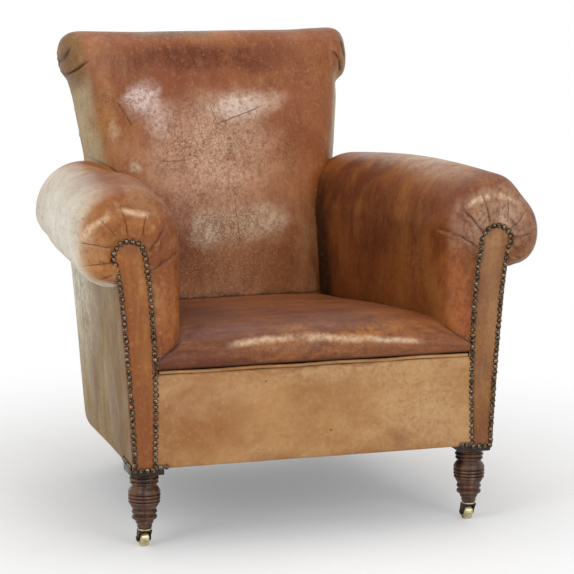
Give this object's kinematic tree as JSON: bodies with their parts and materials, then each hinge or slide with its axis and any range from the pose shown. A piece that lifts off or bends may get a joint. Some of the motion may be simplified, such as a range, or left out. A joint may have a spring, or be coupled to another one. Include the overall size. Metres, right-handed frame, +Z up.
{
  "type": "club_chair",
  "caption": "Worn brown leather club chair with rolled arms, a raked rolled back, a sprung seat and turned front legs on brass casters; for one person to sit in",
  "frame": {"origin": "centre of the footprint of the chair, on the floor", "axes": "X along the width, the sitter's left at +X; Y from the front of the chair to its back; Z up"},
  "size_m": [0.84, 0.7932, 0.8618],
  "materials": {
    "leather_sitting": "worn, waxed, creased",
    "leather_border": "paler, rubbed, stained",
    "leather_outside": "dry, faded khaki-grey",
    "wood_dark": "dark walnut stain, polished",
    "wood_frame": "raw sawn beech",
    "brass": "pale, rubbed",
    "iron": "dark, tarnished",
    "spring_wire": "dull drawn wire",
    "webbing": "woven jute",
    "lining": "thin black cloth"
  },
  "bodies": {
    "chair": {"arm_facing_left": "leather_sitting", "arm_facing_right": "leather_sitting", "arm_pad_left": "leather_sitting", "arm_pad_right": "leather_sitting", "arm_post_left": "wood_frame", "arm_post_right": "wood_frame", "arm_rail_left": "wood_frame", "arm_rail_right": "wood_frame", "arm_slat_left": "wood_frame", "arm_slat_right": "wood_frame", "back_lower_rail": "wood_frame", "back_pad": "leather_sitting", "back_top_rail": "wood_frame", "back_upright_left": "wood_frame", "back_upright_right": "wood_frame", "back_webbing": "webbing", "caster_plate_left": "brass", "caster_plate_right": "brass", "corner_block_left": "wood_frame", "corner_block_right": "wood_frame", "dust_cover": "lining", "front_border": "leather_border", "front_leg_left": "wood_dark", "front_leg_right": "wood_dark", "front_rail": "wood_frame", "outside_arm_left": "leather_outside", "outside_arm_right": "leather_outside", "outside_back": "leather_outside", "rear_leg_left": "wood_dark", "rear_leg_right": "wood_dark", "rear_rail": "wood_frame", "seat_pad": "leather_sitting", "seat_spring_1": "spring_wire", "seat_spring_2": "spring_wire", "seat_spring_3": "spring_wire", "seat_spring_4": "spring_wire", "seat_spring_5": "spring_wire", "seat_spring_6": "spring_wire", "seat_spring_7": "spring_wire", "seat_spring_8": "spring_wire", "seat_spring_9": "spring_wire", "seat_webbing": "webbing", "seat_welt": "leather_sitting", "side_rail_left": "wood_frame", "side_rail_right": "wood_frame", "spring_cover": "webbing"},
    "caster_swivel_right": {"caster_fork_right": "iron", "caster_axle_right": "iron"},
    "caster_roller_right": {"caster_wheel_right": "brass"},
    "caster_swivel_left": {"caster_fork_left": "iron", "caster_axle_left": "iron"},
    "caster_roller_left": {"caster_wheel_left": "brass"}
  },
  "joints": [
    {"name": "swivel_right", "type": "hinge", "parent": "chair", "child": "caster_swivel_right", "pos_m": [0.3025, -0.35064, 0.0319], "axis": [0, 0, 1], "continuous": true},
    {"name": "roll_right", "type": "hinge", "parent": "caster_swivel_right", "child": "caster_roller_right", "pos_m": [0.3025, -0.34164, 0.014], "axis": [1, 0, 0], "continuous": true},
    {"name": "swivel_left", "type": "hinge", "parent": "chair", "child": "caster_swivel_left", "pos_m": [-0.3025, -0.35064, 0.0319], "axis": [0, 0, 1], "continuous": true},
    {"name": "roll_left", "type": "hinge", "parent": "caster_swivel_left", "child": "caster_roller_left", "pos_m": [-0.3025, -0.34164, 0.014], "axis": [1, 0, 0], "continuous": true}
  ]
}
